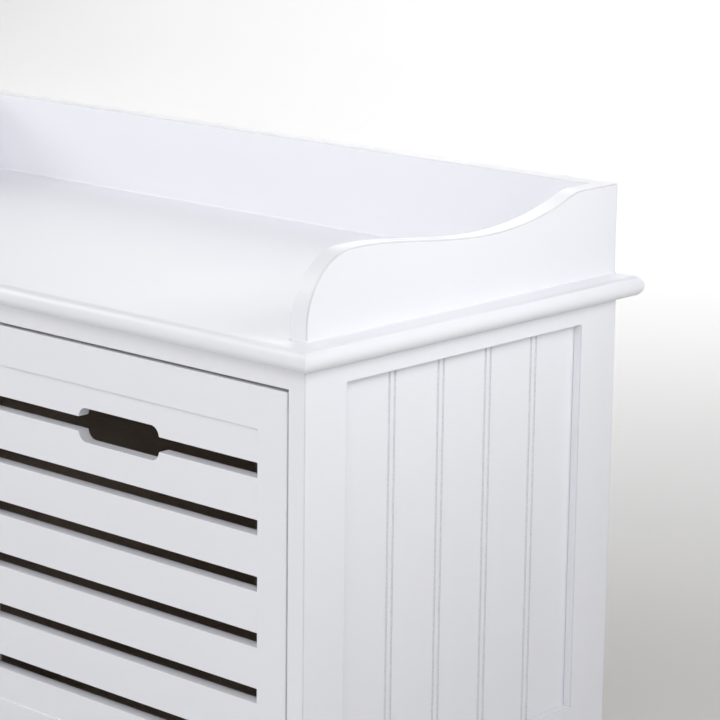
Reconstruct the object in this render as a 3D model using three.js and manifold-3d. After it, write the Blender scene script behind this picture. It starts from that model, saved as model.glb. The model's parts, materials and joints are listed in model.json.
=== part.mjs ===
// Entryway bench: a white painted cabinet with a bullnosed seat board, a low scrolled gallery round
// three sides of the seat, beadboard side frames and two slatted drawers on wooden runners.
// Millimetres, +Z up. The front faces -Y, and the origin is on the floor under the seat's middle.

import * as THREE from 'three';
import { mergeVertices } from 'three/addons/utils/BufferGeometryUtils.js';
import Module from 'manifold-3d';

const wasm = await Module();
wasm.setup();

// Seat and overall size
const BOARD = 18;                  // thickness of every main board
const SEAT_WIDTH = 880;
const SEAT_DEPTH = 430;
const SEAT_TOP = 471;
const NOSE_RADIUS = 8.75;          // half-round edge on all four sides of the seat
const OVERHANG = 12.5;             // seat beyond the cabinet at the front and the sides
const REAR_OVERHANG = 24;

// Cabinet
const HALF_WIDTH = SEAT_WIDTH / 2 - OVERHANG;
const FRONT = -SEAT_DEPTH / 2 + OVERHANG;
const REAR = SEAT_DEPTH / 2 - REAR_OVERHANG;
const TOP = SEAT_TOP - BOARD;
const FOOT_HEIGHT = 40;
const FLOOR_TOP = FOOT_HEIGHT + BOARD;
const LINTEL = TOP - BOARD;        // underside of the front and rear top rails
const SIDE_LINTEL = TOP - 17;      // underside of the side frames' top rails
const INNER_HALF = HALF_WIDTH - BOARD;
const BACK_THICKNESS = 4;
const BACK_FRONT = REAR - BACK_THICKNESS;
const TOP_RAIL_DEPTH = 80;
const GLIDE_HEIGHT = 3;
const GLIDE_RADIUS = 8;
const GLIDE_SIDES = 24;

// Gallery
const GALLERY_HEIGHT = 80;
const GALLERY_INSET = 24.5;        // from the seat's side edges
const GALLERY_FRONT = -188.5;
const GALLERY_REAR = 204;
const SHOULDER_START = 10;         // height of the upright at a side board's front
const SHOULDER_LENGTH = 54;        // the shoulder is a quarter of an ellipse
const SHOULDER_HEIGHT = 58.5;
const SHOULDER_PULL = [42, 2.5];   // handle that carries the shoulder over into the dip
const DIP_AT = 217;                // lowest point of the dip, behind the board's front
const DIP_HEIGHT = 57.4;
const DIP_PULL = [56, 44];         // handles before and behind the lowest point
const CREST_AT = 336;              // where the rise would meet the flat top
const CREST_SLOPE = 0.4;
const CREST_ROUND = 10;            // length rounded off on each side of that corner
const CREST_PULL = 25;

// Side frames
const FRONT_STILE = 48;
const REAR_STILE = 48;
const BOTTOM_RAIL = 48;
const PANEL_SETBACK = 8;
const PANEL_THICKNESS = 6;
const PANEL_GROOVE = 8;            // depth of the groove that holds the panel
const PANEL_TONGUE = 7.5;
const BEAD_PITCH = 60;
const BEAD_COUNT = 4;
const BEAD_START = 62;             // from the front stile to the first bead's middle
const BEAD_GROOVE_OFFSET = 3;      // from a bead's middle to the groove on each side of it
const BEAD_GROOVE_RADIUS = 1.4;

// Drawers
const SIDE_GAP = 1.6;              // on each side of a drawer front
const TOP_GAP = 2.5;               // above and below a drawer front
const DIVIDER_HALF = BOARD / 2;
const BAY_WIDTH = INNER_HALF - DIVIDER_HALF;
const BAY_MIDDLE = (INNER_HALF + DIVIDER_HALF) / 2;
const DRAWER_FRONT_HALF = BAY_WIDTH / 2 - SIDE_GAP;
const DRAWER_FRONT_LOW = FLOOR_TOP + TOP_GAP;
const DRAWER_FRONT_HIGH = LINTEL - TOP_GAP;
const DRAWER_FRONT_THICKNESS = 15;
const DRAWER_FRONT_BACK = FRONT + DRAWER_FRONT_THICKNESS;
const DRAWER_STILE = 32.2;
const DRAWER_TOP_RAIL = 35;
const RAIL_TENON = 10;
const RAIL_SHOULDER = 5;           // from a rail's faces to its tenon
const SLAT_COUNT = 7;
const SLAT_HEIGHT = 34.7;
const END_SLAT_HEIGHT = 28.3;      // the first and the last slat, which lie against the rails
const SLAT_SLOT = 12.5;
const SLAT_THICKNESS = 11.4;
const SLAT_SETBACK = 1.8;
const SLAT_TONGUE = 8;
const SLAT_SHOULDER = 2.7;         // from a slat's faces to its tongue
const GRIP_WIDTH = 97.8;
const GRIP_HEIGHT = 29.6;
const GRIP_RADIUS = 9.5;
const GRIP_OFFSET = 3.2;           // from a front's middle towards the bench's end
const DRAWER_SIDE = 12;
const DRAWER_SIDE_CLEARANCE = 5;   // from the drawer box to the bay's walls
const DRAWER_BOX_HALF = BAY_WIDTH / 2 - DRAWER_SIDE_CLEARANCE;
const DRAWER_BOX_LENGTH = 350;
const DRAWER_BOX_LOW = 64;
const DRAWER_BOX_HIGH = 414;
const DRAWER_BOTTOM_LIFT = 10;     // from the sides' lower edge to the bottom panel
const DRAWER_BOTTOM = 6;
const DRAWER_BOTTOM_TONGUE = 4.5;
const DRAWER_TRAVEL = 280;
const STOP_CLEARANCE = 0.5;

// Wooden runners and stops
const RUNNER_HEIGHT = 12;
const RUNNER_WIDTH = 10;
const RUNNER_LOW = 240;
const RUNNER_FRONT = -180;
const RUNNER_REAR = 170;
const RUNNER_GROOVE = 6;           // depth of the groove in a drawer side
const RUNNER_PLAY = 0.5;
const STOP_WIDTH = 40;
const STOP_DEPTH = 20;
const STOP_DROP = 30;

const FIT = 0.25;                  // clearance all round a tongue, a tenon or a slat end
const CURVE_STEPS = 10;

const paint = new THREE.MeshStandardMaterial({ color: 0xf0f1f4, roughness: 0.42, metalness: 0 });
const rawBoard = new THREE.MeshStandardMaterial({ color: 0x6b5340, roughness: 0.85, metalness: 0 });
const hardwood = new THREE.MeshStandardMaterial({ color: 0xc9a878, roughness: 0.7, metalness: 0 });
const felt = new THREE.MeshStandardMaterial({ color: 0x8c8c8a, roughness: 0.95, metalness: 0 });

// A closed block between two limits on each axis, given in either order.
function block(x, y, z) {
  const size = [x, y, z].map(([from, to]) => Math.abs(to - from));
  const middle = [x, y, z].map(([from, to]) => (from + to) / 2);
  return new THREE.BoxGeometry(...size).translate(...middle);
}

function toSolid(geometry) {
  const bare = geometry.clone();
  bare.deleteAttribute('normal');
  bare.deleteAttribute('uv');
  const merged = mergeVertices(bare);
  return new wasm.Manifold(new wasm.Mesh({
    numProp: 3,
    vertProperties: new Float32Array(merged.attributes.position.array),
    triVerts: new Uint32Array(merged.index.array),
  }));
}

function toGeometry(solid) {
  const { vertProperties, triVerts } = solid.getMesh();
  const geometry = new THREE.BufferGeometry();
  geometry.setAttribute('position', new THREE.BufferAttribute(vertProperties, 3));
  geometry.setIndex(new THREE.BufferAttribute(triVerts, 1));
  geometry.computeVertexNormals();
  return geometry;
}

// A board between two limits on each axis, with tenons joined on and grooves or mortises cut out.
// The joined and cut blocks are given in the same frame as the board.
function board(name, finish, x, y, z, { join = [], cut = [] } = {}) {
  const middle = [x, y, z].map(([from, to]) => (from + to) / 2);
  const home = (geometry) => toSolid(geometry.clone().translate(...middle.map((value) => -value)));
  let solid = home(block(x, y, z));
  for (const piece of join) {
    solid = solid.add(home(piece));
  }
  for (const piece of cut) {
    solid = solid.subtract(home(piece));
  }
  const mesh = new THREE.Mesh(toGeometry(solid), finish.clone());
  mesh.name = name;
  mesh.position.set(...middle);
  return mesh;
}

function outlineMesh(name, finish, outline, depth, curveSegments) {
  const geometry = new THREE.ExtrudeGeometry(outline, { depth, curveSegments, bevelEnabled: false });
  const mesh = new THREE.Mesh(geometry, finish.clone());
  mesh.name = name;
  return mesh;
}

// The seat: a flat board whose four edges are half-round and meet in mitres at the corners.
function seatBoard() {
  const halfWidth = SEAT_WIDTH / 2 - NOSE_RADIUS;
  const halfDepth = SEAT_DEPTH / 2 - NOSE_RADIUS;
  const flat = new THREE.Shape();
  flat.moveTo(-halfWidth, -halfDepth);
  flat.lineTo(halfWidth, -halfDepth);
  flat.lineTo(halfWidth, halfDepth);
  flat.lineTo(-halfWidth, halfDepth);
  const geometry = new THREE.ExtrudeGeometry(flat, {
    depth: BOARD - 2 * NOSE_RADIUS,
    bevelThickness: NOSE_RADIUS,
    bevelSize: NOSE_RADIUS,
    bevelSegments: CURVE_STEPS,
  });
  const mesh = new THREE.Mesh(geometry, paint.clone());
  mesh.name = 'seat_board';
  mesh.position.z = SEAT_TOP - BOARD + NOSE_RADIUS;
  return mesh;
}

// The scrolled outline of a gallery side board, as distance behind its front edge and height above
// the seat: an upright, a rounded shoulder, a long shallow dip and a rise to the flat top.
function galleryOutline() {
  const length = GALLERY_REAR - GALLERY_FRONT;
  const shoulderTop = SHOULDER_START + SHOULDER_HEIGHT;
  const beforeCrest = (back) => [CREST_AT - back, GALLERY_HEIGHT - back * CREST_SLOPE];
  const outline = new THREE.Shape();
  outline.moveTo(0, 0);
  outline.lineTo(0, SHOULDER_START);
  outline.absellipse(SHOULDER_LENGTH, SHOULDER_START, SHOULDER_LENGTH, SHOULDER_HEIGHT,
    Math.PI, Math.PI / 2, true);
  outline.bezierCurveTo(SHOULDER_LENGTH + SHOULDER_PULL[0], shoulderTop + SHOULDER_PULL[1],
    DIP_AT - DIP_PULL[0], DIP_HEIGHT, DIP_AT, DIP_HEIGHT);
  outline.bezierCurveTo(DIP_AT + DIP_PULL[1], DIP_HEIGHT, ...beforeCrest(CREST_ROUND + CREST_PULL),
    ...beforeCrest(CREST_ROUND));
  outline.quadraticCurveTo(CREST_AT, GALLERY_HEIGHT, CREST_AT + CREST_ROUND, GALLERY_HEIGHT);
  outline.lineTo(length, GALLERY_HEIGHT);
  outline.lineTo(length, 0);
  return outline;
}

function gallerySide(name, side) {
  const mesh = outlineMesh(name, paint, galleryOutline(), BOARD, CURVE_STEPS);
  const outer = SEAT_WIDTH / 2 - GALLERY_INSET;
  mesh.rotation.set(Math.PI / 2, Math.PI / 2, 0);
  mesh.position.set(side > 0 ? outer - BOARD : -outer, GALLERY_FRONT, SEAT_TOP);
  return mesh;
}

function gallery() {
  const group = new THREE.Group();
  const inner = SEAT_WIDTH / 2 - GALLERY_INSET - BOARD;
  group.add(gallerySide('gallery_left', -1));
  group.add(gallerySide('gallery_right', 1));
  group.add(board('gallery_back', paint, [-inner, inner], [GALLERY_REAR - BOARD, GALLERY_REAR],
    [SEAT_TOP, SEAT_TOP + GALLERY_HEIGHT]));
  return group;
}

// The beadboard panel's section: across the frame's opening, with a pair of round grooves at each bead.
function beadPanel(name, side, opening) {
  const face = -side * PANEL_SETBACK;
  const back = -side * (PANEL_SETBACK + PANEL_THICKNESS);
  const section = new THREE.Shape();
  section.moveTo(back, opening[0] - PANEL_TONGUE);
  section.lineTo(face, opening[0] - PANEL_TONGUE);
  for (let bead = 0; bead < BEAD_COUNT; bead += 1) {
    const beadMiddle = opening[0] + BEAD_START + bead * BEAD_PITCH;
    for (const offset of [-BEAD_GROOVE_OFFSET, BEAD_GROOVE_OFFSET]) {
      const grooveMiddle = beadMiddle + offset;
      section.lineTo(face, grooveMiddle - BEAD_GROOVE_RADIUS);
      section.absarc(face, grooveMiddle, BEAD_GROOVE_RADIUS, -Math.PI / 2, Math.PI / 2, side > 0);
    }
  }
  section.lineTo(face, opening[1] + PANEL_TONGUE);
  section.lineTo(back, opening[1] + PANEL_TONGUE);
  const low = FOOT_HEIGHT + BOTTOM_RAIL - PANEL_TONGUE;
  const mesh = outlineMesh(name, paint, section, SIDE_LINTEL + PANEL_TONGUE - low, CURVE_STEPS / 2);
  mesh.position.z = low;
  return mesh;
}

// One side of the cabinet: two stiles that stand on the floor, two rails with stub tenons in the
// stiles' grooves, and the beadboard panel held in the groove all round. The group stands on the
// frame's outer face, so distances across the frame run inwards from zero.
function sideFrame(word, side) {
  const group = new THREE.Group();
  group.position.x = side * HALF_WIDTH;
  const across = (from, to) => [-side * from, -side * to];
  const full = across(0, BOARD);
  const grooveAcross = across(PANEL_SETBACK - FIT, PANEL_SETBACK + PANEL_THICKNESS + FIT);
  const tenonAcross = across(PANEL_SETBACK, PANEL_SETBACK + PANEL_THICKNESS);
  const opening = [FRONT + FRONT_STILE, REAR - REAR_STILE];
  const length = [opening[0] - PANEL_TONGUE, opening[1] + PANEL_TONGUE];
  const grooveLength = [opening[0] - PANEL_GROOVE, opening[1] + PANEL_GROOVE];
  const panelLow = FOOT_HEIGHT + BOTTOM_RAIL;

  const stileGroove = block(grooveAcross, grooveLength, [FOOT_HEIGHT, TOP + FIT]);
  const upright = [GLIDE_HEIGHT, TOP];
  group.add(board(`${word}_front_stile`, paint, full, [FRONT, opening[0]], upright, { cut: [stileGroove] }));
  group.add(board(`${word}_rear_stile`, paint, full, [opening[1], REAR], upright, { cut: [stileGroove] }));

  group.add(board(`${word}_top_rail`, paint, full, opening, [SIDE_LINTEL, TOP], {
    join: [block(tenonAcross, length, [SIDE_LINTEL, TOP])],
    cut: [block(grooveAcross, grooveLength, [SIDE_LINTEL - FIT, SIDE_LINTEL + PANEL_GROOVE])],
  }));
  group.add(board(`${word}_bottom_rail`, paint, full, opening, [FOOT_HEIGHT, panelLow], {
    join: [block(tenonAcross, length, [FOOT_HEIGHT, panelLow])],
    cut: [block(grooveAcross, grooveLength, [panelLow - PANEL_GROOVE, panelLow + FIT])],
  }));
  group.add(beadPanel(`${word}_bead_panel`, side, opening));

  const feet = { front: FRONT + FRONT_STILE / 2, rear: REAR - REAR_STILE / 2 };
  for (const [place, y] of Object.entries(feet)) {
    group.add(glide(`glide_${place}_${word}`, -side * BOARD / 2, y));
  }
  return group;
}

function glide(name, x, y) {
  const disc = new THREE.CylinderGeometry(GLIDE_RADIUS, GLIDE_RADIUS, GLIDE_HEIGHT, GLIDE_SIDES);
  const mesh = new THREE.Mesh(disc, felt.clone());
  mesh.name = name;
  mesh.rotation.x = Math.PI / 2;
  mesh.position.set(x, y, GLIDE_HEIGHT / 2);
  return mesh;
}

// Everything between the side frames: floor, divider, back, and the two top rails under the seat.
function cabinetCore() {
  const group = new THREE.Group();
  const inside = [-INNER_HALF, INNER_HALF];
  group.add(board('bottom_panel', paint, inside, [FRONT, BACK_FRONT], [FOOT_HEIGHT, FLOOR_TOP]));
  group.add(board('centre_divider', paint, [-DIVIDER_HALF, DIVIDER_HALF], [FRONT, BACK_FRONT],
    [FLOOR_TOP, LINTEL]));
  group.add(board('back_panel', rawBoard, inside, [BACK_FRONT, REAR], [FOOT_HEIGHT, TOP]));
  group.add(board('front_top_rail', paint, inside, [FRONT, FRONT + TOP_RAIL_DEPTH], [LINTEL, TOP]));
  group.add(board('rear_top_rail', paint, inside, [BACK_FRONT - TOP_RAIL_DEPTH, BACK_FRONT], [LINTEL, TOP]));
  return group;
}

// The fixed pieces that a drawer works against: a runner on each wall of its bay, and a stop under
// the front top rail that meets the drawer's back when it is pulled out.
function bayFittings(word, side) {
  const group = new THREE.Group();
  group.position.x = side * BAY_MIDDLE;
  const wall = BAY_WIDTH / 2;
  const walls = { outer: side, inner: -side };
  for (const [place, way] of Object.entries(walls)) {
    group.add(board(`runner_${word}_${place}`, hardwood, [way * (wall - RUNNER_WIDTH), way * wall],
      [RUNNER_FRONT, RUNNER_REAR], [RUNNER_LOW, RUNNER_LOW + RUNNER_HEIGHT]));
  }
  const backFront = DRAWER_FRONT_BACK + DRAWER_BOX_LENGTH - DRAWER_SIDE;
  const stopRear = backFront - DRAWER_TRAVEL - STOP_CLEARANCE;
  group.add(board(`drawer_stop_${word}`, hardwood, [-STOP_WIDTH / 2, STOP_WIDTH / 2],
    [stopRear - STOP_DEPTH, stopRear], [LINTEL - STOP_DROP, LINTEL]));
  return group;
}

// Lower and upper edge of each slat, from the top rail down. The last slat's lower edge is where the
// bottom rail begins.
function slatHeights() {
  const slats = [];
  let top = DRAWER_FRONT_HIGH - DRAWER_TOP_RAIL;
  for (let slat = 0; slat < SLAT_COUNT; slat += 1) {
    const height = slat === 0 || slat === SLAT_COUNT - 1 ? END_SLAT_HEIGHT : SLAT_HEIGHT;
    slats.push([top - height, top]);
    top -= height + SLAT_SLOT;
  }
  return slats;
}

// The finger grip: a rounded opening centred on the first slot, cut half into each slat beside it.
function gripCutter(middle, firstSlotMiddle) {
  const x = GRIP_WIDTH / 2;
  const z = GRIP_HEIGHT / 2;
  const r = GRIP_RADIUS;
  const outline = new THREE.Shape();
  outline.moveTo(-x + r, -z);
  outline.lineTo(x - r, -z);
  outline.absarc(x - r, -z + r, r, -Math.PI / 2, 0);
  outline.absarc(x - r, z - r, r, 0, Math.PI / 2);
  outline.absarc(-x + r, z - r, r, Math.PI / 2, Math.PI);
  outline.absarc(-x + r, -z + r, r, Math.PI, Math.PI * 1.5);
  const geometry = new THREE.ExtrudeGeometry(outline, {
    depth: BOARD, curveSegments: CURVE_STEPS, bevelEnabled: false,
  });
  return geometry.rotateX(Math.PI / 2).translate(middle, DRAWER_FRONT_BACK, firstSlotMiddle);
}

// The drawer's front: a frame of two stiles and two rails, with slats let into the stiles.
function drawerFront(prefix, side) {
  const group = new THREE.Group();
  const inner = DRAWER_FRONT_HALF - DRAWER_STILE;
  const thickness = [FRONT, DRAWER_FRONT_BACK];
  const slatY = [FRONT + SLAT_SETBACK, FRONT + SLAT_SETBACK + SLAT_THICKNESS];
  const slats = slatHeights();
  const rails = {
    front_top_rail: [slats[0][1], DRAWER_FRONT_HIGH],
    front_bottom_rail: [DRAWER_FRONT_LOW, slats[SLAT_COUNT - 1][0]],
  };
  const inset = ([low, high], shoulder) => [low + shoulder, high - shoulder];
  const looser = ([low, high]) => inset([low, high], -FIT);
  const reach = (length) => [-inner - length, inner + length];
  const tonguesY = inset(slatY, SLAT_SHOULDER);
  const tenonsY = inset(thickness, RAIL_SHOULDER);

  const mortises = slats.map((slat) => block(looser(reach(SLAT_TONGUE)), looser(tonguesY),
    looser(inset(slat, SLAT_SHOULDER))));
  for (const rail of Object.values(rails)) {
    mortises.push(block(looser(reach(RAIL_TENON)), looser(tenonsY), looser(inset(rail, RAIL_SHOULDER))));
  }
  const height = [DRAWER_FRONT_LOW, DRAWER_FRONT_HIGH];
  group.add(board(`${prefix}_front_stile_left`, paint, [-DRAWER_FRONT_HALF, -inner], thickness, height,
    { cut: mortises }));
  group.add(board(`${prefix}_front_stile_right`, paint, [inner, DRAWER_FRONT_HALF], thickness, height,
    { cut: mortises }));
  for (const [name, rail] of Object.entries(rails)) {
    const tenon = block(reach(RAIL_TENON), tenonsY, inset(rail, RAIL_SHOULDER));
    group.add(board(`${prefix}_${name}`, paint, reach(0), thickness, rail, { join: [tenon] }));
  }

  const grip = gripCutter(side * GRIP_OFFSET, (slats[0][0] + slats[1][1]) / 2);
  slats.forEach((slat, index) => {
    const tongue = block(reach(SLAT_TONGUE), tonguesY, inset(slat, SLAT_SHOULDER));
    const cut = index < 2 ? [grip] : [];
    group.add(board(`${prefix}_slat_${index + 1}`, paint, reach(0), slatY, slat, { join: [tongue], cut }));
  });
  return group;
}

// The drawer's box behind its front: grooved sides, a back, and a bottom in the sides' lower grooves.
function drawerBox(prefix) {
  const group = new THREE.Group();
  const inner = DRAWER_BOX_HALF - DRAWER_SIDE;
  const length = [DRAWER_FRONT_BACK, DRAWER_FRONT_BACK + DRAWER_BOX_LENGTH];
  const bottomLow = DRAWER_BOX_LOW + DRAWER_BOTTOM_LIFT;
  const bottom = [bottomLow, bottomLow + DRAWER_BOTTOM];
  const bottomReach = inner + DRAWER_BOTTOM_TONGUE;
  const bottomGroove = block([-bottomReach - FIT, bottomReach + FIT], length,
    [bottom[0] - FIT, bottom[1] + FIT]);
  const runner = [RUNNER_LOW - RUNNER_PLAY, RUNNER_LOW + RUNNER_HEIGHT + RUNNER_PLAY];
  const sides = { left: -1, right: 1 };
  for (const [place, way] of Object.entries(sides)) {
    const outer = way * DRAWER_BOX_HALF;
    const runnerGroove = block([way * (DRAWER_BOX_HALF - RUNNER_GROOVE), outer], length, runner);
    group.add(board(`${prefix}_side_${place}`, rawBoard, [way * inner, outer], length,
      [DRAWER_BOX_LOW, DRAWER_BOX_HIGH], { cut: [runnerGroove, bottomGroove] }));
  }
  group.add(board(`${prefix}_back`, rawBoard, [-inner, inner], [length[1] - DRAWER_SIDE, length[1]],
    [bottom[1], DRAWER_BOX_HIGH]));
  group.add(board(`${prefix}_bottom`, rawBoard, [-bottomReach, bottomReach], length, bottom));
  return group;
}

function drawer(word, side) {
  const group = new THREE.Group();
  group.position.x = side * BAY_MIDDLE;
  group.add(drawerFront(`drawer_${word}`, side));
  group.add(drawerBox(`drawer_${word}`));
  return group;
}

const bench = new THREE.Group();
bench.add(seatBoard());
bench.add(gallery());
bench.add(cabinetCore());
for (const [word, side] of [['left', -1], ['right', 1]]) {
  bench.add(sideFrame(word, side));
  bench.add(bayFittings(word, side));
  bench.add(drawer(word, side));
}

export default bench;
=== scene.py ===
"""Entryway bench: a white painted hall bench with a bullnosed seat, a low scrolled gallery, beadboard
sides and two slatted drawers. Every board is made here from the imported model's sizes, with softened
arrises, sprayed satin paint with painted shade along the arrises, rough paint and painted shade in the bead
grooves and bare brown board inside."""

import json
import math

import bmesh
import bpy
from bpy.props import FloatProperty, FloatVectorProperty, IntProperty, PointerProperty
from mathutils import Matrix, Vector
from mathutils.geometry import interpolate_bezier


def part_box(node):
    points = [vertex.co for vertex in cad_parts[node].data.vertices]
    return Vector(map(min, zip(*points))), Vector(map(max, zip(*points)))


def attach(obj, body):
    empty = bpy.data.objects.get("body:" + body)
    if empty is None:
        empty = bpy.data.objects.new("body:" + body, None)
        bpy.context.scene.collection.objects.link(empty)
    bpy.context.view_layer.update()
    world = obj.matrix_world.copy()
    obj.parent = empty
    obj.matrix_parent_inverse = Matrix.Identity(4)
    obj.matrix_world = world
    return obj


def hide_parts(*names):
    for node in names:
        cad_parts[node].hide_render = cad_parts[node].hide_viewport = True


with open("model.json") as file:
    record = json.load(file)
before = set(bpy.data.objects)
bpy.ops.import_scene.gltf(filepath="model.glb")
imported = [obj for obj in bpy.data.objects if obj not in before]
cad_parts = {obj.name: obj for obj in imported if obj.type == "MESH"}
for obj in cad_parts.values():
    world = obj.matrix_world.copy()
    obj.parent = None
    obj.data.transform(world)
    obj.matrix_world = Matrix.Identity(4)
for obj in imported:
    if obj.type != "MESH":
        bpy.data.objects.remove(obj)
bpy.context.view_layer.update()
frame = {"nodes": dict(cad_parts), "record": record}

bl_info = {
    "name": "Entryway Bench",
    "version": (1, 0, 0),
    "blender": (4, 5, 0),
    "location": "View3D > Sidebar > Bench",
    "description": "Builds a painted entryway bench with slatted drawers around its packed frame",
    "category": "Add Mesh",
}

SIDES = {"left": -1, "right": 1}
MM = 0.001
TOUCH = 0.5 * MM          # boards closer than this meet in a joint
WELD = 0.001 * MM         # vertices closer than this are one
FLAT_ANGLE = math.radians(0.5)       # faces closer in angle than this are one
ARRIS_ANGLE = math.radians(25)      # edges sharper than this are softened
SMOOTH_ANGLE = math.radians(38)     # edges sharper than this stay crisp


# ---------------------------------------------------------------- settings

class BenchPaint(bpy.types.PropertyGroup):
    """The white finish."""

    colour: FloatVectorProperty(
        name="Paint", description="Colour of the satin paint", subtype="COLOR",
        default=(0.84, 0.846, 0.888), min=0, max=1)
    shade: FloatVectorProperty(
        name="Thin paint", description="Colour where the paint lies a little thinner", subtype="COLOR",
        default=(0.832, 0.838, 0.879), min=0, max=1)
    # Painted shade: a darker grey laid along the softened arrises.
    arris: FloatVectorProperty(
        name="Arris shade", description="Colour of the painted shade along an arris", subtype="COLOR",
        default=(0.63, 0.635, 0.66), min=0, max=1)
    # Partly the real raised fibres in the bead grooves, partly painted shade that darkens the grooves.
    groove: FloatVectorProperty(
        name="Groove fibres and shade", description="Colour of the raised fibres and the painted shade in the bead grooves", subtype="COLOR",
        default=(0.55, 0.56, 0.59), min=0, max=1)
    roughness: FloatProperty(
        name="Roughness", description="Roughness of the satin paint", subtype="FACTOR",
        default=0.31, min=0, max=1)


class BenchWood(bpy.types.PropertyGroup):
    """The unpainted parts."""

    board: FloatVectorProperty(
        name="Brown board", description="Colour of the bare hardboard inside", subtype="COLOR",
        default=(0.58, 0.49, 0.41), min=0, max=1)
    hardwood: FloatVectorProperty(
        name="Hardwood", description="Colour of the planed runners and stops", subtype="COLOR",
        default=(0.42, 0.26, 0.13), min=0, max=1)
    felt: FloatVectorProperty(
        name="Felt", description="Colour of the glides under the feet", subtype="COLOR",
        default=(0.19, 0.19, 0.185), min=0, max=1)
    zinc: FloatVectorProperty(
        name="Zinc", description="Colour of the plated screws and pins", subtype="COLOR",
        default=(0.62, 0.61, 0.58), min=0, max=1)


class BenchShape(bpy.types.PropertyGroup):
    """Sizes that the plain boards don't have."""

    arris: FloatProperty(
        name="Arris", description="Radius of the softened edges of the frame boards", unit="LENGTH",
        default=0.8 * MM, min=0)
    slat_arris: FloatProperty(
        name="Slat arris", description="Radius of the softened edges of the slats and the rail over them",
        unit="LENGTH", default=0.35 * MM, min=0)
    gallery_arris: FloatProperty(
        name="Gallery arris", description="Radius of the softened edges of the gallery", unit="LENGTH",
        default=1.1 * MM, min=0)
    raw_arris: FloatProperty(
        name="Raw arris", description="Radius of the edges of the unpainted boards", unit="LENGTH",
        default=0.4 * MM, min=0)
    filler: FloatProperty(
        name="Filler", description="Size of the bead of filler along the gallery's foot", unit="LENGTH",
        default=1.6 * MM, min=0)
    arris_steps: IntProperty(
        name="Arris steps", description="Faces across a softened arris", default=3, min=1, max=8)
    nose_steps: IntProperty(
        name="Nose steps", description="Faces across each half of the seat's round edge",
        default=12, min=2, max=32)
    curve_steps: IntProperty(
        name="Curve steps", description="Faces along each curve of the gallery", default=28, min=4, max=96)


class BenchStage(bpy.types.PropertyGroup):
    """Floor, lights and camera."""

    floor: FloatVectorProperty(
        name="Floor", description="Colour of the floor and the backdrop", subtype="COLOR",
        default=(0.7, 0.695, 0.695), min=0, max=1)
    sky: FloatProperty(
        name="Sky", description="Strength of the even light all round", default=0.2, min=0)
    brightness: FloatProperty(
        name="Brightness", description="Scales the power of every soft box", default=1.0, min=0)
    lens: FloatProperty(
        name="Lens", description="Focal length of the camera", unit="CAMERA", default=139.69, min=1)
    yaw: FloatProperty(
        name="Yaw", description="How far the camera is turned from facing the front", subtype="ANGLE",
        default=math.radians(42.328))
    pitch: FloatProperty(
        name="Pitch", description="How far the camera looks down", subtype="ANGLE",
        default=math.radians(13.148))
    roll: FloatProperty(
        name="Roll", description="How far the camera is tipped about its own axis", subtype="ANGLE",
        default=math.radians(0.678))
    place: FloatVectorProperty(
        name="Camera", description="Place of the camera", subtype="TRANSLATION", unit="LENGTH",
        default=(1.8697, -1.7234, 0.9520))


# ---------------------------------------------------------------- materials

def new_material(name):
    material = bpy.data.materials.new(name)
    material.use_nodes = True
    return material, material.node_tree, material.node_tree.nodes["Principled BSDF"]


def feed(tree, socket, value):
    """Gives a socket a number, a colour or a link."""
    if isinstance(value, bpy.types.NodeSocket):
        tree.links.new(value, socket)
    else:
        socket.default_value = value


def add_node(tree, kind, sockets=None, **values):
    """A node with its own values set, and its named sockets fed."""
    node = tree.nodes.new(kind)
    for name, value in values.items():
        setattr(node, name, value)
    for name, value in (sockets or {}).items():
        feed(tree, node.inputs[name], value)
    return node


def object_coordinates(tree, scale=(1, 1, 1)):
    place = add_node(tree, "ShaderNodeTexCoord")
    mapping = add_node(tree, "ShaderNodeMapping", {"Vector": place.outputs["Object"], "Scale": scale})
    return mapping.outputs["Vector"]


def noise(tree, vector, scale, detail=2.0, roughness=0.5):
    node = add_node(tree, "ShaderNodeTexNoise", {
        "Vector": vector, "Scale": scale, "Detail": detail, "Roughness": roughness})
    return node.outputs["Fac"]


def remap(tree, value, low, high, to_low=0.0, to_high=1.0):
    node = add_node(tree, "ShaderNodeMapRange", {
        "Value": value, "From Min": low, "From Max": high, "To Min": to_low, "To Max": to_high})
    return node.outputs["Result"]


def mix_colour(tree, factor, first, second):
    """The Mix node names its sockets alike for every kind of data, so they are told apart by number."""
    node = add_node(tree, "ShaderNodeMix", data_type="RGBA")
    for number, value in ((0, factor), (6, first), (7, second)):
        feed(tree, node.inputs[number], value)
    return node.outputs[2]


def times(tree, first, second):
    node = add_node(tree, "ShaderNodeMath", operation="MULTIPLY")
    for socket, value in zip(node.inputs, (first, second)):
        feed(tree, socket, value)
    return node.outputs[0]


def bump(tree, height, distance, normal=None):
    sockets = {"Height": height, "Distance": distance, "Strength": 1.0}
    if normal is not None:
        sockets["Normal"] = normal
    return add_node(tree, "ShaderNodeBump", sockets).outputs["Normal"]


def opaque(colour):
    return (*colour, 1.0)


def face_mark(tree, name):
    return add_node(tree, "ShaderNodeAttribute", attribute_name=name).outputs["Fac"]


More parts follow.
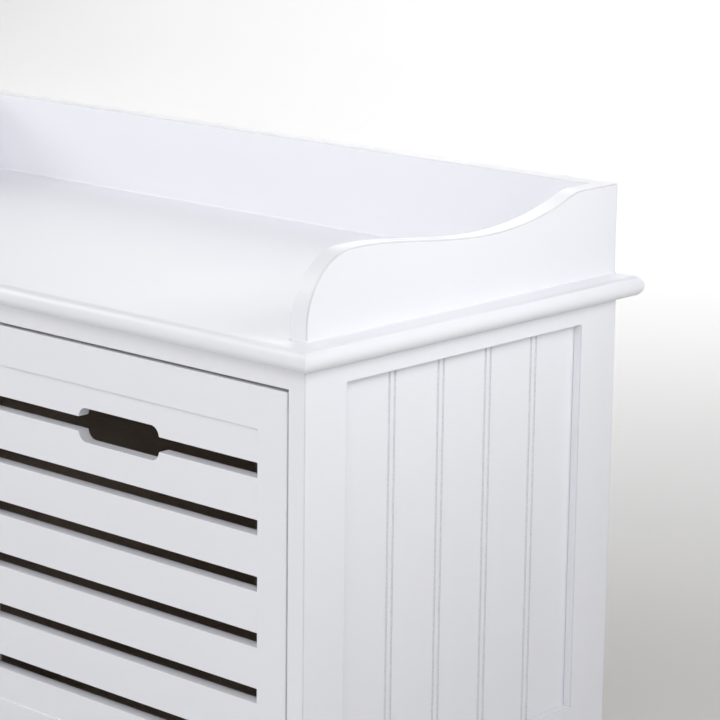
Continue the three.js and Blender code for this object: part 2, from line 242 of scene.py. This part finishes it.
def satin_paint(paint):
    """Sprayed satin paint: fine grain, orange peel, painted shade along the arrises, rough grooves with
    painted shade.
    """
    material, tree, shader = new_material("satin_paint")
    place = object_coordinates(tree)
    grain = remap(tree, noise(tree, place, 800.0, 2.0, 0.7), 0.3, 0.7)
    base = mix_colour(tree, grain, opaque(paint.colour), opaque(paint.shade))
    # Painted shade along the arrises: the marked bevel faces turn towards the darker arris colour, broken a
    # little by noise.
    arris = face_mark(tree, "arris")
    arris_shade = times(tree, arris, remap(tree, noise(tree, place, 60.0, 3.0), 0.3, 0.7, 0.7, 1.0))
    base = mix_colour(tree, arris_shade, base, opaque(paint.arris))
    # Raised fibres speckle the bead grooves, and painted shade darkens them everywhere, more the deeper the
    # face is sunk.
    groove = face_mark(tree, "groove")
    fibre = noise(tree, object_coordinates(tree, (1, 1, 0.55)), 900.0, 3.0, 0.7)
    fibre_and_shade = times(tree, groove, remap(tree, fibre, 0.4, 0.65, 0.2, 0.65))
    base = mix_colour(tree, fibre_and_shade, base, opaque(paint.groove))
    tree.links.new(base, shader.inputs["Base Color"])

    sheen = remap(tree, noise(tree, place, 12.0, 2.0), 0.25, 0.75,
                  paint.roughness - 0.02, paint.roughness + 0.03)
    tree.links.new(sheen, shader.inputs["Roughness"])
    shader.inputs["IOR"].default_value = 1.48
    peel = bump(tree, noise(tree, place, 520.0, 2.0), 0.004 * MM)
    wave = bump(tree, noise(tree, object_coordinates(tree, (0.35, 1, 1)), 40.0, 1.0), 0.012 * MM, peel)
    rough = bump(tree, times(tree, groove, fibre), 0.25 * MM, wave)
    tree.links.new(rough, shader.inputs["Normal"])
    return material


def bare_board(wood):
    """Bare hardboard: pressed brown fibres with a fine nap."""
    material, tree, shader = new_material("bare_board")
    place = object_coordinates(tree)
    fibres = noise(tree, place, 700.0, 3.0, 0.65)
    patch = remap(tree, noise(tree, place, 14.0, 3.0), 0.3, 0.7)
    dark = opaque([value * 0.74 for value in wood.board])
    light = opaque([value * 1.15 for value in wood.board])
    base = mix_colour(tree, remap(tree, fibres, 0.35, 0.68), dark, opaque(wood.board))
    base = mix_colour(tree, times(tree, patch, 0.12), base, light)
    tree.links.new(base, shader.inputs["Base Color"])
    tree.links.new(remap(tree, fibres, 0.3, 0.7, 0.7, 0.92), shader.inputs["Roughness"])
    tree.links.new(bump(tree, fibres, 0.12 * MM), shader.inputs["Normal"])
    return material


def planed_hardwood(wood):
    """Planed hardwood with its grain along the runners."""
    material, tree, shader = new_material("planed_hardwood")
    along = object_coordinates(tree, (30, 1.6, 30))
    grain = noise(tree, along, 9.0, 6.0, 0.62)
    pores = noise(tree, object_coordinates(tree, (1, 0.05, 1)), 1500.0, 2.0)
    dark = opaque([value * 0.5 for value in wood.hardwood])
    base = mix_colour(tree, remap(tree, grain, 0.36, 0.66), dark, opaque(wood.hardwood))
    base = mix_colour(tree, remap(tree, pores, 0.58, 0.72, 0.0, 0.6), base, dark)
    tree.links.new(base, shader.inputs["Base Color"])
    tree.links.new(remap(tree, grain, 0.3, 0.7, 0.62, 0.48), shader.inputs["Roughness"])
    tree.links.new(bump(tree, pores, 0.06 * MM), shader.inputs["Normal"])
    return material


def pressed_felt(wood):
    """Grey pressed felt with a short nap."""
    material, tree, shader = new_material("pressed_felt")
    nap = noise(tree, object_coordinates(tree), 2600.0, 4.0, 0.7)
    light = opaque([value * 1.7 for value in wood.felt])
    tree.links.new(mix_colour(tree, remap(tree, nap, 0.35, 0.7), opaque(wood.felt), light),
                   shader.inputs["Base Color"])
    shader.inputs["Roughness"].default_value = 0.95
    shader.inputs["Sheen Weight"].default_value = 0.4
    tree.links.new(bump(tree, nap, 0.25 * MM), shader.inputs["Normal"])
    return material


def plated_zinc(wood):
    """Zinc plated steel, slightly clouded."""
    material, tree, shader = new_material("plated_zinc")
    cloud = noise(tree, object_coordinates(tree), 900.0, 3.0)
    dull = opaque([value * 0.72 for value in wood.zinc])
    tree.links.new(mix_colour(tree, remap(tree, cloud, 0.35, 0.65), dull, opaque(wood.zinc)),
                   shader.inputs["Base Color"])
    shader.inputs["Metallic"].default_value = 1.0
    tree.links.new(remap(tree, cloud, 0.3, 0.7, 0.28, 0.45), shader.inputs["Roughness"])
    return material


MATERIALS = {
    "white_paint": (satin_paint, "bench_paint"),
    "brown_board": (bare_board, "bench_wood"),
    "hardwood": (planed_hardwood, "bench_wood"),
    "felt": (pressed_felt, "bench_wood"),
    "zinc_screw": (plated_zinc, "bench_wood"),
}


def material_for(slot):
    """The material of one of the record's slots, made the first time that it is asked for."""
    maker, settings = MATERIALS[slot]
    name = maker.__name__
    return bpy.data.materials.get(name) or maker(getattr(bpy.context.scene, settings))


# ---------------------------------------------------------------- shaping

def body_of(node):
    groups = frame["record"]["behaviour"]["bodies"]
    return next(body for body, members in groups.items() if node in members)


def slot_of(node):
    return next(part["material_slot"] for part in frame["record"]["subparts"] if part["node"] == node)


def meeting_boxes(node):
    """Boxes of the boards of the same body that meet this one."""
    low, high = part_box(node)
    boxes = []
    for other in frame["record"]["behaviour"]["bodies"][body_of(node)]:
        other_low, other_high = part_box(other)
        apart = any(other_low[axis] > high[axis] + TOUCH or other_high[axis] < low[axis] - TOUCH
                    for axis in range(3))
        if other != node and not apart:
            boxes.append((other_low, other_high))
    return boxes


def in_joint(point, boxes):
    return any(all(low[axis] - TOUCH <= point[axis] <= high[axis] + TOUCH for axis in range(3))
               for low, high in boxes)


def cut_at(bm, axis, value):
    normal = Vector((0, 0, 0))
    normal[axis] = 1
    bmesh.ops.bisect_plane(bm, geom=bm.verts[:] + bm.edges[:] + bm.faces[:], dist=WELD,
                           plane_co=normal * value, plane_no=normal)


def soften(bm, node, radius, steps, arris_shade, outward=None):
    """Rounds a board's arrises, apart from those that are closed up in a joint with another board, and
    marks how strong the painted shade is on them, or only on those that face outward."""
    boxes = meeting_boxes(node)
    low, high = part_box(node)
    cuts = {(axis, round(corner[axis], 5)) for box in boxes for corner in box for axis in range(3)
            if low[axis] + TOUCH < corner[axis] < high[axis] - TOUCH}
    for axis, value in sorted(cuts):
        cut_at(bm, axis, value)
    arrises = [edge for edge in bm.edges
               if len(edge.link_faces) == 2 and edge.calc_face_angle() > ARRIS_ANGLE
               and not in_joint((edge.verts[0].co + edge.verts[1].co) / 2, boxes)]
    # The bevel faces made here carry the strength of the painted shade along the arrises.
    mark = bm.faces.layers.float.new("arris")
    facing = 0.1
    made = bmesh.ops.bevel(bm, geom=arrises, offset=radius, offset_type="OFFSET", segments=steps,
                           profile=0.5, affect="EDGES", clamp_overlap=True, material=-1)
    for face in made["faces"]:
        if outward is None or face.normal.dot(outward) > facing:
            face[mark] = arris_shade


def merged_copy(node):
    """A copy of a CAD board with its loose triangles merged and its flat faces whole."""
    bm = bmesh.new()
    bm.from_mesh(frame["nodes"][node].data)
    bmesh.ops.remove_doubles(bm, verts=bm.verts, dist=WELD)
    bmesh.ops.dissolve_limit(bm, angle_limit=FLAT_ANGLE, verts=bm.verts, edges=bm.edges)
    return bm


def block(bm, low, high):
    """A block between two corners."""
    size = [high[axis] - low[axis] for axis in range(3)]
    middle = [(high[axis] + low[axis]) / 2 for axis in range(3)]
    return bmesh.ops.create_cube(bm, size=1, matrix=Matrix.Translation(middle) @ Matrix.Diagonal((*size, 1)))


def extrude_outline(bm, outline, depth):
    """A closed prism from an outline and the vector that it is pushed along."""
    face = bm.faces.new([bm.verts.new(point) for point in outline])
    pushed = bmesh.ops.extrude_face_region(bm, geom=[face])
    verts = [item for item in pushed["geom"] if isinstance(item, bmesh.types.BMVert)]
    bmesh.ops.translate(bm, verts=verts, vec=depth)
    bmesh.ops.recalc_face_normals(bm, faces=bm.faces)


def ellipse_arc(centre, radii, start, end, steps):
    """Points of an elliptical arc, with its first point and without its last."""
    angles = [start + (end - start) * step / steps for step in range(steps)]
    return [(centre[0] + radii[0] * math.cos(angle), centre[1] + radii[1] * math.sin(angle))
            for angle in angles]


def finish_piece(name, bm, slot, body, nodes=()):
    """Turns a shape into a painted or bare piece of the bench that rides on its body."""
    mesh = bpy.data.meshes.new(name)
    bm.to_mesh(mesh)
    bm.free()
    if "custom_normal" in mesh.attributes:
        mesh.attributes.remove(mesh.attributes["custom_normal"])
    mesh.shade_smooth()
    mesh.set_sharp_from_angle(angle=SMOOTH_ANGLE)
    mesh.materials.clear()
    mesh.materials.append(material_for(slot))
    piece = bpy.data.objects.new(name, mesh)
    bpy.context.scene.collection.objects.link(piece)
    weighted = piece.modifiers.new("even_faces", "WEIGHTED_NORMAL")
    weighted.keep_sharp = True
    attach(piece, body)
    if nodes:
        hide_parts(*nodes)
    return piece


def finish_board(node, radius, steps, bm=None, arris_shade=0.4, outward=None):
    """A CAD board with softened arrises in the material of its slot."""
    bm = bm or merged_copy(node)
    soften(bm, node, radius, steps, arris_shade, outward)
    return finish_piece(f"{node}_finished", bm, slot_of(node), body_of(node), (node,))


# ---------------------------------------------------------------- pieces

def make_seat(shape):
    """The seat board: every long edge is worked to a half-round, and the corners meet in mitres."""
    low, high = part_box("seat_board")
    flat = 0.5 * MM           # left between the upper and the lower half of the round
    nose = (high.z - low.z - flat) / 2
    bm = bmesh.new()
    block(bm, low, high)
    rims = [edge for edge in bm.edges if abs(edge.verts[0].co.z - edge.verts[1].co.z) < WELD]
    bmesh.ops.bevel(bm, geom=rims, offset=nose, offset_type="OFFSET", segments=shape.nose_steps,
                    profile=0.5, affect="EDGES", clamp_overlap=False, material=-1)
    bmesh.ops.remove_doubles(bm, verts=bm.verts, dist=WELD)
    return finish_piece("seat_board_finished", bm, "white_paint", "carcass", ("seat_board",))


def gallery_outline(low, high, steps):
    """The scrolled side of the gallery: upright, round shoulder, long dip, rise to the full height."""
    shoulder_start = 10 * MM
    shoulder = Vector((54 * MM, 58.5 * MM))
    dip = Vector((217 * MM, 57.4 * MM))
    crest = Vector((336 * MM, high.z - low.z))
    slope = Vector((1, 0.4))
    rounded = 10 * MM
    top = Vector((shoulder.x, shoulder_start + shoulder.y))
    rise_end = crest - slope * rounded
    flat_start = crest + Vector((rounded, 0))
    outline = [(0, 0)]
    outline += ellipse_arc((shoulder.x, shoulder_start), shoulder, math.pi, math.pi / 2, steps)
    falling = (top, top + Vector((42 * MM, 2.5 * MM)), dip - Vector((56 * MM, 0)), dip)
    rising = (dip, dip + Vector((44 * MM, 0)), rise_end - slope * 25 * MM, rise_end)
    turning = (rise_end, rise_end.lerp(crest, 2 / 3), flat_start.lerp(crest, 2 / 3), flat_start)
    for curve, pieces in ((falling, steps), (rising, steps), (turning, steps // 3)):
        outline += [(point.x, point.y) for point in interpolate_bezier(*curve, pieces + 1)[:-1]]
    outline += [tuple(flat_start), (high.y - low.y, crest.y), (high.y - low.y, 0)]
    return [(low.x, low.y + along, low.z + up) for along, up in outline]


def make_gallery(shape):
    for word, side in SIDES.items():
        node = f"gallery_{word}"
        low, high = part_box(node)
        bm = bmesh.new()
        extrude_outline(bm, gallery_outline(low, high, shape.curve_steps), (high.x - low.x, 0, 0))
        finish_board(node, shape.gallery_arris, shape.arris_steps, bm, arris_shade=1.0,
                     outward=Vector((side, 0, 0)))
    finish_board("gallery_back", shape.gallery_arris, shape.arris_steps)


def make_filler(shape):
    """A small hollow bead of filler that closes the joint between the gallery and the seat."""
    left_low, left_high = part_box("gallery_left")
    back_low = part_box("gallery_back")[0]
    outer, inner, front, rear, inside = -left_low.x, -left_high.x, left_low.y, left_high.y, back_low.y
    size = shape.filler
    corners = [(-outer - size, rear + size), (-outer - size, front - size), (-inner + size, front - size),
               (-inner + size, inside - size), (inner - size, inside - size), (inner - size, front - size),
               (outer + size, front - size), (outer + size, rear + size)]
    bm = bmesh.new()
    foot = bm.faces.new([bm.verts.new((x, y, left_low.z)) for x, y in corners])
    foot.normal_update()
    if foot.normal.z < 0:
        foot.normal_flip()
    lifted = bmesh.ops.extrude_face_region(bm, geom=[foot])
    top = next(item for item in lifted["geom"] if isinstance(item, bmesh.types.BMFace))
    upright = 0.05 * MM
    steps = 4
    bmesh.ops.translate(bm, verts=top.verts, vec=(0, 0, upright))
    for step in range(steps):
        start, end = (math.pi / 2 * value / steps for value in (step, step + 1))
        bmesh.ops.inset_region(bm, faces=[top], thickness=size * (math.sin(end) - math.sin(start)),
                               depth=size * (math.cos(start) - math.cos(end)), use_even_offset=True)
    bmesh.ops.recalc_face_normals(bm, faces=bm.faces)
    finish_piece("gallery_filler", bm, "white_paint", "carcass")


def bead_section(low, high, opening, side):
    """The panel's section, from its front tongue to its rear one, with a narrow bead between two shallow
    hollows at each joint of the boards."""
    first = 62 * MM
    pitch = 60 * MM
    count = 4
    hollow = Vector((1.45 * MM, -1.35 * MM))
    apart = 3.3 * MM
    steps = 12
    face = high.x if side > 0 else low.x
    back = low.x if side > 0 else high.x
    outline = [(back, low.y), (face, low.y)]
    for bead in range(count):
        centre = opening[0] + first + bead * pitch
        for middle in (centre - apart, centre + apart):
            profile = ellipse_arc((middle, 0), hollow, math.pi, 0, steps) + [(middle + hollow.x, 0)]
            outline += [(face + side * down, along) for along, down in profile]
    outline += [(face, high.y), (back, high.y)]
    return [(x, y, low.z) for x, y in outline]


def make_bead_panels():
    shallowest = 0.05 * MM
    deepest = 1.5 * MM
    full_fibre_and_shade_depth = 0.6 * MM
    for word, side in SIDES.items():
        node = f"{word}_bead_panel"
        low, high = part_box(node)
        opening = (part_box(f"{word}_front_stile")[1].y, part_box(f"{word}_rear_stile")[0].y)
        bm = bmesh.new()
        extrude_outline(bm, bead_section(low, high, opening, side), (0, 0, high.z - low.z))
        groove = bm.faces.layers.float.new("groove")
        face_x = high.x if side > 0 else low.x
        for face in bm.faces:
            middle = face.calc_center_median()
            sunk = abs(middle.x - face_x)
            # The groove mark grows with depth, so the painted shade is darker deeper in the grooves.
            if shallowest < sunk < deepest and abs(face.normal.z) < 0.5:
                face[groove] = min(1.0, sunk / full_fibre_and_shade_depth)
        finish_piece(f"{node}_finished", bm, slot_of(node), "carcass", (node,))


def make_side_frames(shape):
    for word in SIDES:
        for part in ("front_stile", "rear_stile", "top_rail", "bottom_rail"):
            finish_board(f"{word}_{part}", shape.arris, shape.arris_steps, arris_shade=0.8)


def make_cabinet_core(shape):
    for node in ("bottom_panel", "centre_divider", "front_top_rail", "rear_top_rail"):
        finish_board(node, shape.arris, shape.arris_steps)
    finish_board("back_panel", shape.raw_arris, shape.arris_steps)


def make_drawer_fronts(shape):
    for word in SIDES:
        prefix = f"drawer_{word}"
        for part in ("stile_left", "stile_right", "bottom_rail"):
            finish_board(f"{prefix}_front_{part}", shape.arris, shape.arris_steps, arris_shade=0.1)
        finish_board(f"{prefix}_front_top_rail", shape.slat_arris, shape.arris_steps, arris_shade=0)
        slats = [node for node in frame["nodes"] if node.startswith(f"{prefix}_slat_")]
        for node in sorted(slats):
            finish_board(node, shape.slat_arris, shape.arris_steps, arris_shade=0.2)


def make_drawer_boxes(shape):
    for word in SIDES:
        for part in ("side_left", "side_right", "back", "bottom"):
            finish_board(f"drawer_{word}_{part}", shape.raw_arris, shape.arris_steps)


def make_runners(shape):
    for word in SIDES:
        for node in (f"runner_{word}_outer", f"runner_{word}_inner", f"drawer_stop_{word}"):
            finish_board(node, shape.raw_arris, shape.arris_steps)


def make_glides():
    """Felt pads under the feet, a little swollen between their worn edges."""
    for node in sorted(name for name in frame["nodes"] if name.startswith("glide_")):
        low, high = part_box(node)
        radius = (high.x - low.x) / 2
        rim = 0.8 * MM
        centre = Vector(((low.x + high.x) / 2, (low.y + high.y) / 2, low.z))
        profile = [(0, 0), (radius - rim, 0)]
        profile += ellipse_arc((radius - rim, rim), (rim, rim), -math.pi / 2, 0, 4)
        profile += [(radius, high.z - low.z), (0, high.z - low.z)]
        bm = bmesh.new()
        verts = [bm.verts.new((centre.x + out, centre.y, centre.z + up)) for out, up in profile]
        edges = [bm.edges.new(pair) for pair in zip(verts, verts[1:])]
        bmesh.ops.spin(bm, geom=verts + edges, cent=centre, axis=(0, 0, 1), angle=math.tau, steps=40,
                       use_merge=True)
        bmesh.ops.remove_doubles(bm, verts=bm.verts, dist=WELD)
        bmesh.ops.recalc_face_normals(bm, faces=bm.faces)
        finish_piece(f"{node}_finished", bm, "felt", "carcass", (node,))


def screw_head(radius):
    """A countersunk head with a cross recess, nearly flush with z = 0 and pointing up."""
    bm = bmesh.new()
    sunk = 1.6 * MM
    proud = 0.15 * MM
    recess_depth = 0.9 * MM
    bmesh.ops.create_cone(bm, cap_ends=True, segments=16, radius1=radius * 0.45, radius2=radius, depth=sunk,
                          matrix=Matrix.Translation((0, 0, proud - sunk / 2)))
    top = max(bm.faces, key=lambda face: face.calc_center_median().z)
    bmesh.ops.inset_region(bm, faces=[top], thickness=radius * 0.38, use_even_offset=True)
    rim = sorted(top.verts, key=lambda vert: math.atan2(vert.co.y, vert.co.x))
    for index, vert in enumerate(rim):
        if index % 4 != 0:
            vert.co.xy *= 0.5 if index % 2 == 0 else 0.62
    recess = bmesh.ops.extrude_face_region(bm, geom=[top])
    floor = [item for item in recess["geom"] if isinstance(item, bmesh.types.BMVert)]
    bmesh.ops.translate(bm, verts=floor, vec=(0, 0, -recess_depth))
    bmesh.ops.delete(bm, geom=[top], context="FACES_ONLY")
    bmesh.ops.recalc_face_normals(bm, faces=bm.faces)
    mesh = bpy.data.meshes.new("screw_head")
    bm.to_mesh(mesh)
    bm.free()
    return mesh


def scatter(name, head, places, body):
    """One piece of like fasteners: each place is a point and the way that its head faces."""
    bm = bmesh.new()
    for point, way in places:
        start = len(bm.verts)
        bm.from_mesh(head)
        bm.verts.ensure_lookup_table()
        turn = Vector((0, 0, 1)).rotation_difference(Vector(way)).to_matrix().to_4x4()
        bmesh.ops.transform(bm, verts=bm.verts[start:], matrix=Matrix.Translation(point) @ turn)
    finish_piece(name, bm, "zinc_screw", body)


def make_fasteners():
    """Screws through the runners and the stops, and pins round the back panel and down its middle."""
    screw = screw_head(3.2 * MM)
    pin = screw_head(1.8 * MM)
    runner_shares = (0.06, 0.5, 0.95)
    stop_shares = (0.25, 0.75)
    for word, side in SIDES.items():
        places = []
        for place, way in (("outer", -side), ("inner", side)):
            low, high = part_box(f"runner_{word}_{place}")
            x = low.x if way < 0 else high.x
            for share in runner_shares:
                places.append(((x, low.y + share * (high.y - low.y), (low.z + high.z) / 2), (way, 0, 0)))
        low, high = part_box(f"drawer_stop_{word}")
        for share in stop_shares:
            places.append(((low.x + share * (high.x - low.x), (low.y + high.y) / 2, low.z), (0, 0, -1)))
        scatter(f"runner_screws_{word}", screw, places, "carcass")
    low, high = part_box("back_panel")
    edge = 9 * MM
    columns = 9
    rows = 5
    places = []
    for column in range(columns):
        x = low.x + edge + (high.x - low.x - 2 * edge) * column / (columns - 1)
        places += [((x, high.y, z), (0, 1, 0)) for z in (low.z + edge, high.z - edge)]
    for row in range(1, rows):
        z = low.z + edge + (high.z - low.z - 2 * edge) * row / rows
        places.append(((0, high.y, z), (0, 1, 0)))
    scatter("back_panel_pins", pin, places, "carcass")


# ---------------------------------------------------------------- stage

def make_floor(stage):
    """A pale floor that sweeps up into a backdrop well behind the bench."""
    half = 7.0
    rear = 4.0
    height = 5.0
    sweep = 1.2
    bm = bmesh.new()
    corners = [bm.verts.new(point) for point in ((-half, -half, 0), (half, -half, 0), (half, rear, 0),
                                                 (-half, rear, 0))]
    floor = bm.faces.new(corners)
    edge = next(edge for edge in floor.edges if all(vert.co.y > 0 for vert in edge.verts))
    raised = bmesh.ops.extrude_edge_only(bm, edges=[edge])
    verts = [item for item in raised["geom"] if isinstance(item, bmesh.types.BMVert)]
    bmesh.ops.translate(bm, verts=verts, vec=(0, 0, height))
    bmesh.ops.bevel(bm, geom=[edge], offset=sweep, segments=24, profile=0.5, affect="EDGES", material=-1)
    bmesh.ops.recalc_face_normals(bm, faces=bm.faces)
    mesh = bpy.data.meshes.new("studio_floor")
    bm.to_mesh(mesh)
    bm.free()
    mesh.shade_smooth()
    material, tree, shader = new_material("studio_paper")
    cloud = noise(tree, object_coordinates(tree), 2.0, 2.0)
    darker = opaque([value * 0.97 for value in stage.floor])
    tree.links.new(mix_colour(tree, cloud, opaque(stage.floor), darker), shader.inputs["Base Color"])
    shader.inputs["Roughness"].default_value = 0.7
    mesh.materials.append(material)
    floor_piece = bpy.data.objects.new("studio_floor", mesh)
    bpy.context.scene.collection.objects.link(floor_piece)


# Each soft box: place, what it is aimed at, width and height, power in watts, spread in degrees.
SOFT_BOXES = {
    "low_front_box": ((0.4, -4.0, 0.9), (0, -0.2, 0.42), (2.5, 1.2), 24.0, 180),
    "upper_front_box": ((-0.3, -0.8, 1.3), (0, -0.2, 0.42), (1.0, 0.6), 2.4, 180),
    "left_box": ((-2.4, -1.2, 1.6), (0, 0, 0.45), (1.4, 1.4), 26.0, 180),
    "corner_box": ((1.2, -1.0, 1.15), (0.42, -0.2, 0.45), (1.0, 0.8), 7.0, 180),
    "side_box": ((2.2, 0.5, 1.05), (0.42, 0.1, 0.42), (1.0, 0.6), 8.0, 180),
    "side_strip": ((0.95, 0.1, 0.9), (0.43, 0, 0.6), (0.6, 0.4), 0.6, 80),
    "seat_strip": ((-0.1, -0.17, 0.9), (-0.1, 0.2, 0.52), (1.0, 0.25), 0.25, 100),
    "seat_top_box": ((0, 0.3, 3.4), (0, 0, 0.5), (3.0, 2.4), 2.6, 180),
    "rear_left_box": ((-2.2, 2.0, 1.4), (0, 0, 0.45), (1.6, 1.2), 3.2, 180),
    "rear_top_box": ((-0.3, 1.8, 2.2), (0, 0, 0.45), (2.0, 1.0), 7.0, 180),
    "floor_box": ((-0.6, 1.9, 1.8), (-0.8, 2.2, 0), (2.0, 1.0), 15.0, 180),
    "backdrop_box": ((-0.5, 2.6, 1.6), (-1.5, 3.2, 0), (1.5, 1.0), 8.0, 180),
    "front_floor_box": ((1.0, -4.0, 3.2), (1.0, -4.0, 0), (9.0, 4.0), 90.0, 80),
    "left_floor_box": ((-5.2, -1.2, 3.2), (-5.2, -1.2, 0), (4.0, 5.5), 80.0, 60),
    "right_floor_box": ((4.8, 0.5, 3.2), (4.8, 0.5, 0), (3.5, 7.0), 60.0, 60),
    "left_backdrop_box": ((-3.0, 2.2, 2.4), (-3.2, 4.0, 0.6), (4.0, 1.0), 80.0, 180),
}


def make_soft_box(name, place, target, size, power, spread):
    """A soft box that lights the bench without being seen."""
    lamp = bpy.data.lights.new(name, "AREA")
    lamp.shape = "RECTANGLE"
    lamp.size, lamp.size_y = size
    lamp.energy = power
    lamp.spread = math.radians(spread)
    light = bpy.data.objects.new(name, lamp)
    light.location = place
    light.rotation_euler = (Vector(target) - Vector(place)).to_track_quat("-Z", "Y").to_euler()
    light.visible_camera = False
    bpy.context.scene.collection.objects.link(light)


def make_lights(stage):
    world = bpy.data.worlds.new("studio_air")
    world.use_nodes = True
    tree = world.node_tree
    seen = add_node(tree, "ShaderNodeLightPath").outputs["Is Camera Ray"]
    tree.links.new(remap(tree, seen, 0, 1, stage.sky, 1), tree.nodes["Background"].inputs["Strength"])
    tree.nodes["Background"].inputs["Color"].default_value = (1, 1, 1, 1)
    bpy.context.scene.world = world
    for name, (place, target, size, power, spread) in SOFT_BOXES.items():
        make_soft_box(name, place, target, size, power * stage.brightness, spread)


def make_camera(stage):
    camera = bpy.data.objects.new("camera", bpy.data.cameras.new("camera"))
    camera.data.lens = stage.lens
    camera.data.sensor_width = 36
    camera.data.clip_end = 60
    turn = (Matrix.Rotation(stage.yaw, 4, "Z") @ Matrix.Rotation(math.pi / 2 - stage.pitch, 4, "X")
            @ Matrix.Rotation(stage.roll, 4, "Z"))
    camera.matrix_world = Matrix.Translation(stage.place) @ turn
    bpy.context.scene.collection.objects.link(camera)
    bpy.context.scene.camera = camera


# ---------------------------------------------------------------- operators

class BENCH_OT_seat(bpy.types.Operator):
    """Build the seat board"""

    bl_idname = "bench.seat"
    bl_label = "Seat"

    def execute(self, context):
        make_seat(context.scene.bench_shape)
        return {"FINISHED"}


class BENCH_OT_gallery(bpy.types.Operator):
    """Build the scrolled gallery and the filler along its foot"""

    bl_idname = "bench.gallery"
    bl_label = "Gallery"

    def execute(self, context):
        make_gallery(context.scene.bench_shape)
        make_filler(context.scene.bench_shape)
        return {"FINISHED"}


class BENCH_OT_side_frames(bpy.types.Operator):
    """Build the stiles and rails of both side frames"""

    bl_idname = "bench.side_frames"
    bl_label = "Side frames"

    def execute(self, context):
        make_side_frames(context.scene.bench_shape)
        return {"FINISHED"}


class BENCH_OT_bead_panels(bpy.types.Operator):
    """Build the beadboard panels"""

    bl_idname = "bench.bead_panels"
    bl_label = "Bead panels"

    def execute(self, context):
        make_bead_panels()
        return {"FINISHED"}


class BENCH_OT_cabinet_core(bpy.types.Operator):
    """Build the floor, divider, back and top rails of the cabinet"""

    bl_idname = "bench.cabinet_core"
    bl_label = "Cabinet core"

    def execute(self, context):
        make_cabinet_core(context.scene.bench_shape)
        return {"FINISHED"}


class BENCH_OT_drawer_fronts(bpy.types.Operator):
    """Build the framed and slatted drawer fronts"""

    bl_idname = "bench.drawer_fronts"
    bl_label = "Drawer fronts"

    def execute(self, context):
        make_drawer_fronts(context.scene.bench_shape)
        return {"FINISHED"}


class BENCH_OT_drawer_boxes(bpy.types.Operator):
    """Build the bare board boxes behind the drawer fronts"""

    bl_idname = "bench.drawer_boxes"
    bl_label = "Drawer boxes"

    def execute(self, context):
        make_drawer_boxes(context.scene.bench_shape)
        return {"FINISHED"}


class BENCH_OT_runners(bpy.types.Operator):
    """Build the hardwood runners and drawer stops"""

    bl_idname = "bench.runners"
    bl_label = "Runners and stops"

    def execute(self, context):
        make_runners(context.scene.bench_shape)
        return {"FINISHED"}


class BENCH_OT_glides(bpy.types.Operator):
    """Build the felt glides under the feet"""

    bl_idname = "bench.glides"
    bl_label = "Glides"

    def execute(self, context):
        make_glides()
        return {"FINISHED"}


class BENCH_OT_fasteners(bpy.types.Operator):
    """Build the visible screws and pins"""

    bl_idname = "bench.fasteners"
    bl_label = "Fasteners"

    def execute(self, context):
        make_fasteners()
        return {"FINISHED"}


class BENCH_OT_stage(bpy.types.Operator):
    """Set up the floor, the lights and the camera"""

    bl_idname = "bench.stage"
    bl_label = "Stage"

    def execute(self, context):
        stage = context.scene.bench_stage
        make_floor(stage)
        make_lights(stage)
        make_camera(stage)
        context.scene.view_settings.view_transform = "Standard"
        return {"FINISHED"}


OPERATORS = (
    BENCH_OT_stage, BENCH_OT_seat, BENCH_OT_gallery, BENCH_OT_side_frames, BENCH_OT_bead_panels,
    BENCH_OT_cabinet_core, BENCH_OT_drawer_fronts, BENCH_OT_drawer_boxes, BENCH_OT_runners,
    BENCH_OT_glides, BENCH_OT_fasteners,
)


class BENCH_PT_panel(bpy.types.Panel):
    """Lists the bench's sizes, colours and building steps"""

    bl_idname = "BENCH_PT_panel"
    bl_label = "Entryway Bench"
    bl_space_type = "VIEW_3D"
    bl_region_type = "UI"
    bl_category = "Bench"

    def draw(self, context):
        for settings in GROUPS:
            box = self.layout.box()
            group = getattr(context.scene, settings)
            for name in group.__annotations__:
                box.prop(group, name)
        for operator in OPERATORS:
            self.layout.operator(operator.bl_idname)


GROUPS = {
    "bench_paint": BenchPaint,
    "bench_wood": BenchWood,
    "bench_shape": BenchShape,
    "bench_stage": BenchStage,
}
CLASSES = (*GROUPS.values(), *OPERATORS, BENCH_PT_panel)


def register():
    for item in CLASSES:
        bpy.utils.register_class(item)
    for name, group in GROUPS.items():
        setattr(bpy.types.Scene, name, PointerProperty(type=group))


def unregister():
    for name in GROUPS:
        delattr(bpy.types.Scene, name)
    for item in reversed(CLASSES):
        bpy.utils.unregister_class(item)


def main():
    register()
    for operator in OPERATORS:
        group, name = operator.bl_idname.split(".")
        getattr(getattr(bpy.ops, group), name)()


if __name__ == "__main__":
    main()
